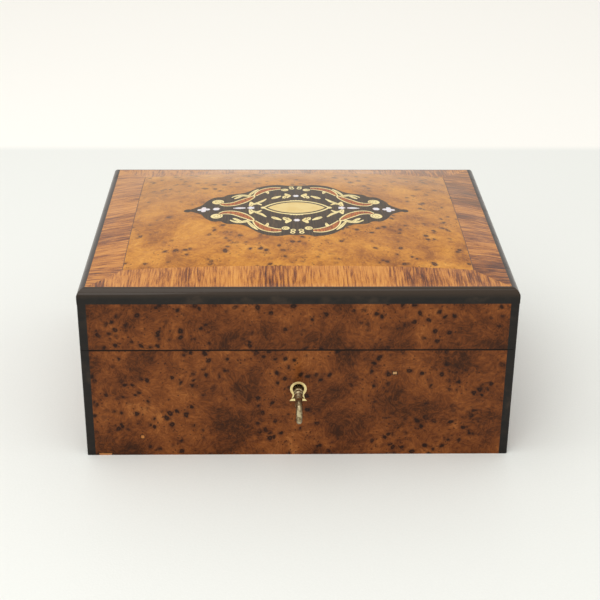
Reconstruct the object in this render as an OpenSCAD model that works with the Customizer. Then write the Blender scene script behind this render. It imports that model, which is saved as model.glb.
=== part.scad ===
// Desk letter box with a pillow-shaped hinged lid, a box lock with its key, and an inlaid cartouche.
// X runs across the front, Y from the front (-) to the back (+), Z up; the origin is under the middle.

/* [Box] */
// Width over the veneers
box_w = 300; // [280:5:330]
// Depth over the veneers
box_d = 240; // [220:5:270]
// Height of the case up to its rim
case_h = 84; // [80:1:100]
// Height of the lid from its rim to the foot of the moulding
lid_h = 35; // [28:1:50]
// Rise of the lid's pillow-shaped top above its edge
crown_h = 12; // [6:1:16]
// Fullness of the pillow: larger is flatter on top and steeper at the edge
crown_fullness = 2.6; // [2:0.1:3.2]
// Hairline between the closed rims
seam_gap = 0.3; // [0.2:0.05:0.6]

/* [Walls] */
// Thickness of the carcase boards
board_t = 11; // [10:0.5:13]
// Thickness of the veneers, bands and marquetry
veneer_t = 1; // [0.8:0.1:1.2]
// Thickness of the lining panels
lining_t = 2; // [1.5:0.25:3]
// Thickness of the rim lipping
lipping_t = 1; // [0.8:0.1:1.5]
// Thickness of the bottom board
bottom_t = 8; // [6:0.5:12]
// Thickness of the floor panel and of the panel inside the lid
panel_t = 1.5; // [1:0.25:3]

/* [Trim] */
// Side of the square ebonised corner fillets
fillet_w = 6; // [5:0.5:8]
// Rounding of the fillets' outer arris
arris_r = 1.2; // [0.5:0.1:2]
// Radius and width of the quarter-round moulding
mould_r = 5.5; // [4:0.5:7]
// Upright part below the quarter round
mould_foot = 5; // [3:0.5:7]
// Width of the crossband round the lid
band_w = 22.8; // [18:0.2:28]

/* [Cartouche] */
// Length of the marquetry cartouche without its end balls
cart_l = 160; // [150:1:170]
// Width of the marquetry cartouche
cart_w = 103; // [96:1:108]
// Radius of the ball at each end
cart_ball = 3; // [2:0.25:4]
// Height of the marquetry pieces over their ground
inlay_t = 0.3; // [0.2:0.05:0.5]
// Width of the brass lines round the scrolls
line_w = 1.15; // [0.95:0.1:1.35]
// Length of the brass plaque
plaque_l = 43; // [38:1:46]
// Width of the brass plaque
plaque_w = 21.5; // [18:0.5:23]

/* [Lock] */
// Height of the key's axis above the ground
key_z = 53.5; // [52:0.5:56]
// Outer radius of the escutcheon ring
escutcheon_r = 5.8; // [5:0.1:7]
// Thickness of the escutcheon's brass line
escutcheon_t = 1.7; // [1.2:0.1:2]
// Width of the lock's face plate
lock_w = 72; // [66:1:84]
// Drop of the lock's face plate below the rim
lock_drop = 44; // [44:1:48]
// Depth of the lock between its plates
lock_gap = 6; // [5:0.25:7]
// Thickness of the lock's plates
plate_t = 1.4; // [1:0.1:1.8]
// Travel of the bolt
bolt_throw = 5; // [4:0.25:6]
// Thickness of the bolt
bolt_t = 2.4; // [2:0.1:3]

/* [Key] */
// Radius of the key's shank
shank_r = 2.6; // [2.3:0.1:3]
// Radius of the post that the hollow shank turns on
post_r = 1.25; // [1:0.05:1.5]
// Reach of the bit from the key's axis
bit_r = 7.4; // [7:0.1:8.2]
// Distance from the box's face to the middle of the bow
bow_out = 30; // [24:1:36]
// Outer radius of the bow
bow_r = 9; // [8:0.5:12]
// Thickness of the bow's wire
bow_t = 4.2; // [3:0.2:4.6]

/* [Hinges] */
// Length of each hinge
hinge_l = 40; // [30:1:60]
// Distance of each hinge from the middle
hinge_x = 88; // [70:1:95]
// Thickness of the leaves
leaf_t = 0.9; // [0.7:0.1:1.2]
// Depth of the leaves on the rim
leaf_d = 9; // [7:0.5:10]
// Radius of the knuckle
knuckle_r = 2; // [1.8:0.1:2.6]
// Radius of the hinge pin
pin_r = 0.9; // [0.7:0.1:1]

/* [Hidden] */
$fn = 64;
part_clear = 0.02;
lay_clear = 0.3;
knuckles = 5;
knuckle_gap = 0.1;

wall_t = veneer_t + board_t + lining_t;
half_w = box_w / 2;
half_d = box_d / 2;
lid_z = case_h + seam_gap;
foot_z = lid_z + lid_h;
edge_z = foot_z + mould_foot + mould_r;
top_a = half_w - mould_r;
top_b = half_d - mould_r;
far = 2 * box_w;

// Cartouche places, in fractions of the drawing's own half length and half width
sx = cart_l / 160;
sy = cart_w / 103;

// Lock places
face_in = -half_d + wall_t;
palastre_y = face_in - plate_t;
cap_y = palastre_y - lock_gap;
selvedge_z = case_h - plate_t;
lock_body_w = lock_w - 14;
staple_x = 14;
staple_t = 3;
staple_d = 4;
staple_drop = 9;
nose_z = case_h - 6;
bolt_y = palastre_y - 1 - bolt_t;
bar_z = key_z + bit_r - 1.6;
bar_h = 8;
slot_clear = 0.4;
stud_r = 1.3;
stud_xs = [-17, 7.5];
hinge_y = half_d + knuckle_r + 0.1;
hinge_z = case_h + seam_gap / 2;

// Shared pieces of geometry

// Box from one corner to the opposite one
module span(low, high) {
  translate(low)
    cube(high - low);
}

// Rise of the pillow above the moulding's inner edge
function crown(x, y) =
  let (u = min(1, abs(x) / top_a), v = min(1, abs(y) / top_b))
  crown_h * (1 - pow(u, crown_fullness)) * (1 - pow(v, crown_fullness));

cells_x = 16;
cells_y = 14;
function grid_x(i) = top_a * (2 * i / cells_x - 1);
function grid_y(j) = top_b * (2 * j / cells_y - 1);
function layer(base, rise) =
  [for (j = [0:cells_y], i = [0:cells_x])
    [grid_x(i), grid_y(j), base + rise * crown(grid_x(i), grid_y(j))]];

// Solid over the whole top, between a lower and an upper layer of the same grid
module pillow(low, low_rise, high) {
  row = cells_x + 1;
  count = row * (cells_y + 1);
  top = [for (j = [0:cells_y - 1], i = [0:cells_x - 1])
    let (a = count + j * row + i)
    each [[a, a + row, a + 1], [a + 1, a + row, a + row + 1]]];
  under = [for (j = [0:cells_y - 1], i = [0:cells_x - 1])
    let (a = j * row + i)
    each [[a, a + 1, a + row], [a + 1, a + row + 1, a + row]]];
  front = [for (i = [0:cells_x - 1])
    each [[i, i + count, i + 1], [i + 1, i + count, i + 1 + count]]];
  back = [for (i = [0:cells_x - 1])
    let (a = cells_y * row + i)
    each [[a, a + 1, a + count], [a + 1, a + 1 + count, a + count]]];
  left = [for (j = [0:cells_y - 1])
    let (a = j * row)
    each [[a, a + row, a + count], [a + row, a + row + count, a + count]]];
  right = [for (j = [0:cells_y - 1])
    let (a = j * row + cells_x)
    each [[a, a + count, a + row], [a + row, a + count, a + row + count]]];
  polyhedron(concat(layer(low, low_rise), layer(high, 1)), concat(top, under, front, back, left, right));
}

// A flat outline cut out of the veneer that follows the pillow, kept as one faceted piece
module on_pillow(low = edge_z - veneer_t, high = edge_z) {
  resize([0, 0, 0])
    intersection() {
      pillow(low, 1, high);
      translate([0, 0, edge_z - 2 * veneer_t])
        linear_extrude(crown_h + 4 * veneer_t)
          children();
    }
}

// Plan of one mitred side of a frame; side 0 is the front, then right, back and left
module mitre_plan(a, b, side, width) {
  corners = [[-a, -b], [a, -b], [a, b], [-a, b]];
  p = corners[side];
  q = corners[(side + 1) % 4];
  function inward(c) = [c[0] - sign(c[0]) * width, c[1] - sign(c[1]) * width];
  polygon([p, q, inward(q), inward(p)]);
}

// Boards of a frame: front and back run through, the sides fit between; corners are cut for fillets
module fillet_plan(clear) {
  for (sx = [-1, 1], sy = [-1, 1])
    translate([sx * (half_w - fillet_w / 2), sy * (half_d - fillet_w / 2)])
      square(fillet_w + 2 * clear, center = true);
}

module long_board(sy, low, high) {
  y = sy * (half_d - veneer_t - board_t / 2);
  translate([0, 0, low])
    linear_extrude(high - low)
      difference() {
        translate([0, y])
          square([box_w - 2 * veneer_t, board_t], center = true);
        fillet_plan(0);
      }
}

module side_board(sx, low, high) {
  x = sx * (half_w - veneer_t - board_t / 2);
  depth = half_d - veneer_t - board_t;
  span([x - board_t / 2, -depth, low], [x + board_t / 2, depth, high]);
}

module long_veneer(sy, low, high) {
  y = sy * (half_d - veneer_t / 2);
  span([-half_w + fillet_w, y - veneer_t / 2, low], [half_w - fillet_w, y + veneer_t / 2, high]);
}

module side_veneer(sx, low, high) {
  x = sx * (half_w - veneer_t / 2);
  span([x - veneer_t / 2, -half_d + fillet_w, low], [x + veneer_t / 2, half_d - fillet_w, high]);
}

module corner_fillets(low, high) {
  color([0.16, 0.13, 0.11])
    for (sx = [-1, 1], sy = [-1, 1])
      translate([sx * (half_w - fillet_w), sy * (half_d - fillet_w), low])
        scale([sx, sy, 1])
          linear_extrude(high - low)
            union() {
              square([fillet_w - arris_r, fillet_w]);
              square([fillet_w, fillet_w - arris_r]);
              translate([fillet_w - arris_r, fillet_w - arris_r])
                circle(arris_r);
            }
}

module lining_strips(low, high) {
  a = half_w - veneer_t - board_t;
  b = half_d - veneer_t - board_t;
  for (s = [-1, 1]) {
    y = s * (b - lining_t / 2);
    span([-a, y - lining_t / 2, low], [a, y + lining_t / 2, high]);
    x = s * (a - lining_t / 2);
    span([x - lining_t / 2, -b + lining_t, low], [x + lining_t / 2, b - lining_t, high]);
  }
}

module rim_lipping(low, high) {
  for (side = [0:3])
    translate([0, 0, low])
      linear_extrude(high - low)
        difference() {
          mitre_plan(half_w - veneer_t, half_d - veneer_t, side, wall_t - veneer_t);
          fillet_plan(0);
        }
}

// Case

module front_cuts() {
  // Pocket of the lock, open to the rim and to the inside
  span([-lock_body_w / 2 - part_clear, cap_y - plate_t - part_clear, case_h - lock_drop + 3],
    [lock_body_w / 2 + part_clear, face_in + veneer_t, case_h + veneer_t]);
  keyhole(escutcheon_r - escutcheon_t, -half_d - veneer_t, face_in);
  selvedge(part_clear);
}

// Keyhole and escutcheon outline: a ring over a skirt that flares to its foot
module keyhole_plan(r) {
  grow = r - escutcheon_r;
  foot = bit_r + slot_clear + escutcheon_t + grow;
  half = escutcheon_r + slot_clear + grow;
  union() {
    circle(r);
    polygon([[-r * 0.55, 0], [r * 0.55, 0], [half * 0.72, -foot * 0.8], [half, -foot],
      [-half, -foot], [-half * 0.72, -foot * 0.8]]);
  }
}

module keyhole(r, low, high) {
  translate([0, high, key_z])
    rotate([90, 0, 0])
      linear_extrude(high - low)
        keyhole_plan(r);
}

module case_front_board() {
  color([0.5, 0.3, 0.16])
    difference() {
      long_board(-1, 0, case_h - lipping_t);
      front_cuts();
      lock_screw_set(part_clear);
    }
}

module case_back_board() {
  color([0.5, 0.3, 0.16])
    difference() {
      long_board(1, 0, case_h - lipping_t);
      hinge_screw_set(-1, part_clear);
    }
}

module case_left_board() {
  color([0.5, 0.3, 0.16])
    side_board(-1, 0, case_h - lipping_t);
}

module case_right_board() {
  color([0.5, 0.3, 0.16])
    side_board(1, 0, case_h - lipping_t);
}

module case_bottom_board() {
  a = half_w - veneer_t - board_t;
  b = half_d - veneer_t - board_t;
  color([0.55, 0.36, 0.2])
    span([-a, -b, 0], [a, b, bottom_t]);
}

module case_front_veneer() {
  color([0.5, 0.29, 0.16])
    difference() {
      long_veneer(-1, 0, case_h);
      keyhole(escutcheon_r, -half_d - veneer_t, -half_d + 2 * veneer_t);
    }
}

module case_back_veneer() {
  color([0.5, 0.29, 0.16])
    difference() {
      long_veneer(1, 0, case_h);
      hinge_recess(-1);
    }
}

module case_left_veneer() {
  color([0.5, 0.29, 0.16])
    side_veneer(-1, 0, case_h);
}

module case_right_veneer() {
  color([0.5, 0.29, 0.16])
    side_veneer(1, 0, case_h);
}

module case_corner_fillets() {
  corner_fillets(0, case_h);
}

module case_rim_lipping() {
  color([0.35, 0.18, 0.1])
    difference() {
      rim_lipping(case_h - lipping_t, case_h);
      hinge_recess(-1);
      hinge_screw_set(-1, part_clear);
      selvedge(1);
    }
}

module case_lining() {
  color([0.45, 0.14, 0.1])
    difference() {
      lining_strips(bottom_t + panel_t, case_h - lipping_t);
      span([-lock_w / 2, face_in - lining_t - 1, case_h - lock_drop], [lock_w / 2, face_in + 1, case_h]);
    }
}

module case_floor_panel() {
  a = half_w - veneer_t - board_t;
  b = half_d - veneer_t - board_t;
  color([0.4, 0.12, 0.1])
    span([-a, -b, bottom_t], [a, b, bottom_t + panel_t]);
}

// Lock

module keyhole_escutcheon() {
  color([0.85, 0.72, 0.42])
    difference() {
      keyhole(escutcheon_r, -half_d, -half_d + veneer_t);
      keyhole(escutcheon_r - escutcheon_t, -half_d - veneer_t, -half_d + 2 * veneer_t);
    }
}

// Top plate of the lock, let into the rim
module selvedge(grow) {
  span([-lock_w / 2, cap_y - plate_t, selvedge_z - grow], [lock_w / 2, face_in, case_h + grow]);
}

module lock_screw_set(clear) {
  for (s = [-1, 1], z = [case_h - lock_drop + 5, case_h - 8])
    translate([s * (lock_w / 2 - 3.5), face_in, z])
      rotate([90, 0, 0])
        union() {
          cylinder(h = plate_t, r1 = 2.1 + clear, r2 = 1.1 + clear);
          cylinder(h = 9 + clear, r = 1.1 + clear);
        }
}

module lock_plate() {
  inner = lock_body_w / 2 - plate_t;
  base_z = case_h - lock_drop + 3;
  color([0.8, 0.66, 0.36])
    difference() {
      union() {
        span([-lock_w / 2, palastre_y, case_h - lock_drop], [lock_w / 2, face_in, case_h]);
        selvedge(0);
        for (s = [-1, 1])
          span([s * (inner + plate_t / 2) - plate_t / 2, cap_y, base_z],
            [s * (inner + plate_t / 2) + plate_t / 2, palastre_y + plate_t / 2, selvedge_z + plate_t / 2]);
        span([-inner - plate_t / 2, cap_y, base_z],
          [inner + plate_t / 2, palastre_y + plate_t / 2, base_z + plate_t]);
      }
      for (s = [-1, 1])
        span([s * staple_x - staple_t / 2 - slot_clear, bolt_y + bolt_t / 2 - staple_d / 2 - slot_clear,
            selvedge_z - 1],
          [s * staple_x + staple_t / 2 + slot_clear, bolt_y + bolt_t / 2 + staple_d / 2 + slot_clear,
            case_h + 1]);
      lock_screw_set(0);
      translate([0, palastre_y - 1, key_z])
        rotate([-90, 0, 0])
          cylinder(h = plate_t + 2, r = post_r);
      for (x = stud_xs)
        translate([x, palastre_y - 1, bar_z + bar_h / 2])
          rotate([-90, 0, 0])
            cylinder(h = plate_t + 2, r = stud_r * 0.7);
    }
}

module lock_cap() {
  outer = lock_body_w / 2;
  color([0.78, 0.64, 0.36])
    difference() {
      span([-outer, cap_y - plate_t, case_h - lock_drop + 3], [outer, cap_y, selvedge_z]);
      keyhole(escutcheon_r - escutcheon_t, cap_y - 2 * plate_t, cap_y + plate_t);
    }
}

module lock_key_post() {
  color([0.6, 0.6, 0.6])
    translate([0, cap_y - plate_t, key_z])
      rotate([-90, 0, 0])
        cylinder(h = face_in - cap_y + plate_t, r = post_r);
}

module lock_guide_studs() {
  color([0.6, 0.6, 0.6])
    for (x = stud_xs)
      translate([x, 0, bar_z + bar_h / 2])
        rotate([-90, 0, 0])
          union() {
            translate([0, 0, palastre_y])
              cylinder(h = plate_t, r = stud_r * 0.7);
            translate([0, 0, cap_y])
              cylinder(h = lock_gap, r = stud_r);
          }
}

// Leaf spring: a straight strip from a block on the side wall, resting just over the bolt's bar
module lock_spring() {
  inner = lock_body_w / 2 - plate_t;
  low = bar_z + bar_h + 0.1;
  color([0.45, 0.45, 0.48])
    translate([0, bolt_y + bolt_t, 0])
      rotate([90, 0, 0])
        linear_extrude(bolt_t)
          polygon([[inner, low + 7], [inner, low + 10], [inner - 3.5, low + 10], [inner - 3.5, low + 6],
            [15, low + 0.6], [13, low + 0.6], [13, low], [15.3, low], [inner - 2.9, low + 5.3],
            [inner - 2.9, low + 7]]);
}

module lock_screws() {
  color([0.82, 0.7, 0.42])
    lock_screw_set(0);
}

module lock_bolt() {
  bar_left = -26;
  bar_right = 17;
  nose_h = 3;
  arm = 5;
  notch_half = 6;
  notch_x = -bolt_throw / 2;
  nose_reach = 0.8;
  color([0.83, 0.7, 0.4])
    difference() {
      union() {
        span([bar_left, bolt_y, bar_z], [bar_right, bolt_y + bolt_t, bar_z + bar_h]);
        for (s = [-1, 1]) {
          tip = s * staple_x - staple_t / 2 - nose_reach;
          root = tip - 2.2 - bolt_throw;
          span([root - arm / 2, bolt_y, bar_z + bar_h / 2],
            [root + arm / 2, bolt_y + bolt_t, nose_z + nose_h / 2]);
          span([root, bolt_y + 0.2, nose_z - nose_h / 2],
            [tip, bolt_y + bolt_t - 0.2, nose_z + nose_h / 2]);
        }
      }
      span([notch_x - notch_half, bolt_y - 1, bar_z - 1],
        [notch_x + notch_half, bolt_y + bolt_t + 1, key_z + bit_r + 0.3]);
      for (x = stud_xs) {
        for (shift = [-bolt_throw, 0])
          translate([x + shift, bolt_y - 1, bar_z + bar_h / 2])
            rotate([-90, 0, 0])
              cylinder(h = bolt_t + 2, r = stud_r + 0.1);
        span([x - bolt_throw, bolt_y - 1, bar_z + bar_h / 2 - stud_r - 0.1],
          [x, bolt_y + bolt_t + 1, bar_z + bar_h / 2 + stud_r + 0.1]);
      }
    }
}

// Key

module key_shank() {
  tip = palastre_y - lay_clear;
  start = -half_d - bow_out + bow_r - bow_t / 2;
  color([0.72, 0.7, 0.66])
    difference() {
      union() {
        translate([0, start, key_z])
          rotate([-90, 0, 0])
            cylinder(h = tip - start, r = shank_r);
        translate([0, -half_d - 5.5, key_z])
          rotate([-90, 0, 0])
            cylinder(h = 1.6, r = shank_r + 0.7);
        translate([0, -half_d - 9, key_z])
          rotate([-90, 0, 0])
            cylinder(h = 1.2, r = shank_r + 0.5);
        span([-1, cap_y + 0.4, key_z - bit_r], [1, tip, key_z - shank_r / 2]);
      }
      translate([0, cap_y - plate_t - 3, key_z])
        rotate([-90, 0, 0])
          cylinder(h = lock_gap + plate_t + 4, r = post_r + 0.05);
    }
}

module key_bow() {
  color([0.72, 0.7, 0.66])
    difference() {
      translate([0, -half_d - bow_out, key_z])
        rotate([0, 90, 0])
          rotate_extrude()
            translate([bow_r - bow_t / 2, 0])
              circle(bow_t / 2, $fn = 32);
      translate([0, -half_d - bow_out, key_z])
        rotate([-90, 0, 0])
          translate([0, 0, bow_r - bow_t / 2])
            cylinder(h = bow_t, r = shank_r + 0.01);
    }
}

// Hinges

// Recess of both leaves in a rim; side -1 is the case, 1 is the lid
module hinge_recess(side) {
  low = side < 0 ? case_h - leaf_t : lid_z - 1;
  high = side < 0 ? case_h + 1 : lid_z + leaf_t;
  for (s = [-1, 1])
    span([s * hinge_x - hinge_l / 2, half_d - leaf_d, low], [s * hinge_x + hinge_l / 2, half_d + 1, high]);
}

module hinge_screw_set(side, clear) {
  for (s = [-1, 1], k = [-1:1])
    translate([s * hinge_x + k * hinge_l / 3, half_d - leaf_d / 2, side < 0 ? case_h : lid_z])
      rotate([side < 0 ? 180 : 0, 0, 0])
        union() {
          cylinder(h = leaf_t, r1 = 1.7 + clear, r2 = 1 + clear);
          cylinder(h = 7 + clear, r = 0.8 + clear);
        }
}

module leaf(side) {
  pitch = hinge_l / knuckles;
  low = side < 0 ? case_h - leaf_t : lid_z;
  first = side < 0 ? 0 : 1;
  color([0.8, 0.65, 0.34])
    for (s = [-1, 1])
      difference() {
        union() {
          span([s * hinge_x - hinge_l / 2, half_d - leaf_d, low],
            [s * hinge_x + hinge_l / 2, half_d, low + leaf_t]);
          for (k = [first:2:knuckles - 1])
            translate([s * hinge_x - hinge_l / 2 + k * pitch + knuckle_gap / 2, 0, 0])
              union() {
                translate([0, hinge_y, hinge_z])
                  rotate([0, 90, 0])
                    cylinder(h = pitch - knuckle_gap, r = knuckle_r);
                span([0, half_d - 1, low], [pitch - knuckle_gap, hinge_y - pin_r, low + leaf_t]);
              }
        }
        translate([-far, hinge_y, hinge_z])
          rotate([0, 90, 0])
            cylinder(h = 2 * far, r = pin_r + part_clear);
        hinge_screw_set(side, 0);
      }
}

module hinge_case_leaves() {
  leaf(-1);
}

module hinge_lid_leaves() {
  leaf(1);
}

module hinge_pins() {
  color([0.72, 0.58, 0.3])
    for (s = [-1, 1])
      translate([s * hinge_x - hinge_l / 2, hinge_y, hinge_z])
        rotate([0, 90, 0])
          cylinder(h = hinge_l, r = pin_r);
}

module hinge_case_screws() {
  color([0.85, 0.72, 0.42])
    hinge_screw_set(-1, 0);
}

module hinge_lid_screws() {
  color([0.85, 0.72, 0.42])
    hinge_screw_set(1, 0);
}

// Lid

module lid_front_rail() {
  color([0.5, 0.3, 0.16])
    difference() {
      long_board(-1, lid_z + lipping_t, foot_z);
      link_screw_set(part_clear);
      link_bed(1);
    }
}

module lid_back_rail() {
  color([0.5, 0.3, 0.16])
    difference() {
      long_board(1, lid_z + lipping_t, foot_z);
      hinge_screw_set(1, part_clear);
    }
}

module lid_left_rail() {
  color([0.5, 0.3, 0.16])
    side_board(-1, lid_z + lipping_t, foot_z);
}

module lid_right_rail() {
  color([0.5, 0.3, 0.16])
    side_board(1, lid_z + lipping_t, foot_z);
}

// Top board: flat below, planed to the pillow above
module lid_top_board() {
  color([0.55, 0.36, 0.2])
    pillow(foot_z, 0, edge_z - veneer_t);
}

module lid_front_veneer() {
  color([0.5, 0.29, 0.16])
    long_veneer(-1, lid_z, foot_z);
}

module lid_back_veneer() {
  color([0.5, 0.29, 0.16])
    difference() {
      long_veneer(1, lid_z, foot_z);
      hinge_recess(1);
    }
}

module lid_left_veneer() {
  color([0.5, 0.29, 0.16])
    side_veneer(-1, lid_z, foot_z);
}

module lid_right_veneer() {
  color([0.5, 0.29, 0.16])
    side_veneer(1, lid_z, foot_z);
}

module lid_field_veneer() {
  color([0.78, 0.52, 0.25])
    on_pillow()
      difference() {
        square([2 * (top_a - band_w), 2 * (top_b - band_w)], center = true);
        ground_plan();
      }
}

module crossband(side) {
  color([0.6, 0.33, 0.16])
    on_pillow()
      mitre_plan(top_a, top_b, side, band_w);
}

module lid_crossband_front() {
  crossband(0);
}

module lid_crossband_right() {
  crossband(1);
}

module lid_crossband_back() {
  crossband(2);
}

module lid_crossband_left() {
  crossband(3);
}

// Quarter-round moulding along one side, mitred at both ends
module moulding(side) {
  along_x = side == 0 || side == 2;
  a = along_x ? half_w : half_d;
  b = along_x ? half_d : half_w;
  color([0.16, 0.13, 0.11])
    rotate([0, 0, 90 * side])
      intersection() {
        translate([-a, -b, foot_z])
          rotate([90, 0, 90])
            linear_extrude(2 * a)
              union() {
                square([mould_r, mould_foot]);
                translate([0, mould_foot])
                  intersection() {
                    translate([mould_r, 0])
                      circle(mould_r);
                    square(mould_r);
                  }
              }
        translate([0, 0, foot_z - 1])
          linear_extrude(mould_foot + mould_r + 2)
            mitre_plan(a, b, 0, mould_r);
      }
}

module lid_moulding_front() {
  moulding(0);
}

module lid_moulding_right() {
  moulding(1);
}

module lid_moulding_back() {
  moulding(2);
}

module lid_moulding_left() {
  moulding(3);
}

module lid_corner_fillets() {
  corner_fillets(lid_z, foot_z);
}

module lid_rim_lipping() {
  color([0.35, 0.18, 0.1])
    difference() {
      rim_lipping(lid_z, lid_z + lipping_t);
      hinge_recess(1);
      hinge_screw_set(1, part_clear);
      link_bed(1);
    }
}

module lid_lining() {
  color([0.45, 0.14, 0.1])
    difference() {
      lining_strips(lid_z + lipping_t, foot_z - panel_t);
      link_bed(1);
    }
}

module lid_inner_panel() {
  a = half_w - veneer_t - board_t;
  b = half_d - veneer_t - board_t;
  color([0.45, 0.14, 0.1])
    span([-a, -b, foot_z - panel_t], [a, b, foot_z]);
}

// Link plate with the two staples that the bolt shoots into

module link_bed(grow) {
  y = bolt_y + bolt_t / 2;
  span([-staple_x - 12, y - staple_d / 2 - 1, lid_z - grow],
    [staple_x + 12, y + staple_d / 2 + 1, lid_z + plate_t]);
}

module link_screw_set(clear) {
  for (s = [-1, 1])
    translate([s * (staple_x + 8), bolt_y + bolt_t / 2, lid_z])
      union() {
        cylinder(h = plate_t, r1 = 1.8 + clear, r2 = 1 + clear);
        cylinder(h = 8 + clear, r = 1 + clear);
      }
}

module link_plate() {
  y = bolt_y + bolt_t / 2;
  color([0.8, 0.66, 0.36])
    difference() {
      union() {
        link_bed(0);
        for (s = [-1, 1])
          span([s * staple_x - staple_t / 2, y - staple_d / 2, case_h - staple_drop],
            [s * staple_x + staple_t / 2, y + staple_d / 2, lid_z + plate_t / 2]);
      }
      span([-far, y - bolt_t / 2 - 0.1, nose_z - 1.9], [far, y + bolt_t / 2 + 0.1, nose_z + 1.9]);
      link_screw_set(0);
    }
}

module link_plate_screws() {
  color([0.85, 0.72, 0.42])
    link_screw_set(0);
}

// Marquetry drawing, on the flat, in one quarter and mirrored to four

module quarters() {
  for (mx = [0, 1], my = [0, 1])
    mirror([mx, 0])
      mirror([0, my])
        scale([sx, sy])
          children();
}

// Smooth curve through points, a few steps to each stretch
function knot(p, i) = p[max(0, min(len(p) - 1, i))];
function smooth(p, steps) =
  [for (i = [0:len(p) - 2], k = [0:steps - 1])
    let (t = k / steps, a = knot(p, i - 1), b = knot(p, i), c = knot(p, i + 1), d = knot(p, i + 2))
    0.5 * (2 * b + (c - a) * t + (2 * a - 5 * b + 4 * c - d) * t * t + (3 * b - a - 3 * c + d) * t * t * t),
    p[len(p) - 1]];
function heading(p, i) =
  let (d = knot(p, i + 1) - knot(p, i - 1))
  d / norm(d);
// Band along a curve; each point is [x, y, half width]
function flat(p) = [p[0], p[1]];
function edge(p, side, grow) =
  [for (i = [0:len(p) - 1])
    let (d = heading([for (q = p) flat(q)], i))
    flat(p[i]) + side * (p[i][2] + grow) * [-d[1], d[0]]];
module band(points, grow, steps = 2) {
  p = smooth(points, steps);
  left = edge(p, 1, grow);
  right = edge(p, -1, grow);
  polygon(concat(left, [for (i = [len(right) - 1:-1:0]) right[i]]));
}

// Pointed oval of a given length and width
module navette(l, w) {
  r = (l * l + w * w) / (4 * w);
  intersection() {
    translate([0, w / 2 - r])
      circle(r, $fn = 64);
    translate([0, r - w / 2])
      circle(r, $fn = 64);
  }
}

// Dark ground: a cusped ogee outline with a ball at each end
half_outline = [[0, 50], [6.5, 49.6], [14.5, 51.5], [26, 47.4], [36.5, 35.2], [42, 31.5], [51.5, 29.2],
  [56, 24.8], [62, 24], [67.5, 17.5], [71, 9.5], [76, 4.6], [80, 1.6]];
outer_scroll = [[57, 10.2, 0.9], [53, 8, 2.1], [46.5, 9.2, 2.6], [39.5, 15, 2.7], [34, 21.5, 1.4],
  [32.5, 24, 0.4]];
inner_scroll = [[31.3, 25.5, 0.4], [28.4, 32, 1.9], [24, 38, 2.7], [17.5, 41.8, 2.6],
  [11.5, 42.3, 1.4]];
outer_volute = [59.2, 14.2, 4.5];
inner_volute = [8.4, 38.6, 2.9];

module ground_plan() {
  scale([sx, sy])
    union() {
      for (mx = [0, 1], my = [0, 1])
        mirror([mx, 0])
          mirror([0, my])
            polygon(concat(smooth(half_outline, 3), [[80, 0], [0, 0]]));
      for (s = [-1, 1])
        translate([s * 81.5, 0])
          circle(cart_ball, $fn = 32);
    }
}

module redwood_plan() {
  quarters()
    union() {
      band(outer_scroll, 0);
      band(inner_scroll, 0);
    }
}

// Leaf blades: each is [x, y, half width] points along its rib
leaves = [
  [[33, 22, 1.2], [37, 25.5, 1.6], [43, 27, 1.4], [47.5, 24.5, 0.6], [49, 22.5, 0.2]],
  [[36, 26.5, 0.5], [34, 31, 1], [31.5, 36.5, 0.9], [28.6, 41, 0.2]],
  [[41, 26, 0.8], [45, 21.5, 1.1], [47, 19.5, 0.2]],
  [[21.2, 29.4, 0.2], [21.9, 33, 1.1], [23, 36.6, 0.8]],
  [[34.6, 3.4, 0.9], [33.6, 8, 1.7], [34.4, 12.4, 0.3]],
  [[33.2, 6.4, 1], [29.5, 8.4, 1.2], [26, 5.2, 0.4]],
  [[30.5, 9.4, 0.6], [26.5, 12.4, 1.2], [22.5, 18.4, 0.3]],
  [[18.5, 18.2, 0.6], [15.5, 21, 1.7], [11.4, 24.4, 0.4]],
  [[9.6, 19, 0.5], [8, 22.5, 2], [5.2, 25, 1.3], [8.2, 29.8, 0.5]],
  [[7.6, 20.4, 1.2], [6.3, 24.6, 1.6], [8, 29, 0.8]]
];

module knot_loop(x, y, r, w) {
  translate([x, y])
    difference() {
      circle(r, $fn = 12);
      circle(r - w, $fn = 8);
    }
}

module brass_plan() {
  difference() {
    quarters()
      union() {
        band(outer_scroll, line_w);
        band(inner_scroll, line_w);
        for (v = [outer_volute, inner_volute])
          translate([v[0], v[1]])
            circle(v[2], $fn = 20);
        translate([32.4, 24.6])
          circle(1.5, $fn = 10);
        for (l = leaves)
          band(l, 0, 1);
        knot_loop(3.3, 45.6, 1.9, 1);
        knot_loop(2.9, 42, 2, 1);
      }
    redwood_plan();
    pearl_plan();
  }
  difference() {
    union() {
      navette(plaque_l + 8, plaque_w + 7);
      for (s = [-1, 1], k = [-2:2])
        translate([k * 2, s * (plaque_w + 7.2 - abs(k) * 0.5) / 2])
          circle(1, $fn = 8);
      for (s = [-1, 1])
        translate([s * (plaque_l / 2 + 3.2), 0])
          circle(2, $fn = 10);
    }
    navette(plaque_l + 4, plaque_w + 3.6);
  }
}

// Florets and drops of mother-of-pearl on both axes
module floret(r, petals) {
  union() {
    circle(r * 0.55, $fn = 10);
    for (k = [0:petals - 1])
      rotate(360 * k / petals)
        translate([r * 0.62, 0])
          circle(r * 0.38, $fn = 8);
  }
}

module pearl_plan() {
  for (mx = [0, 1])
    mirror([mx, 0])
      scale([sx, sy])
        union() {
          translate([34, 0])
            floret(2.9, 5);
          band([[38.2, 0, 0.9], [42.5, 0, 1.6], [47.5, 0, 0.3]], 0);
          translate([60, 0])
            circle(2.8, $fn = 6);
          translate([69.5, 0])
            floret(4.8, 4);
        }
  for (my = [0, 1])
    mirror([0, my])
      scale([sx, sy])
        translate([0, 24.5])
          floret(2.4, 6);
}

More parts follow.
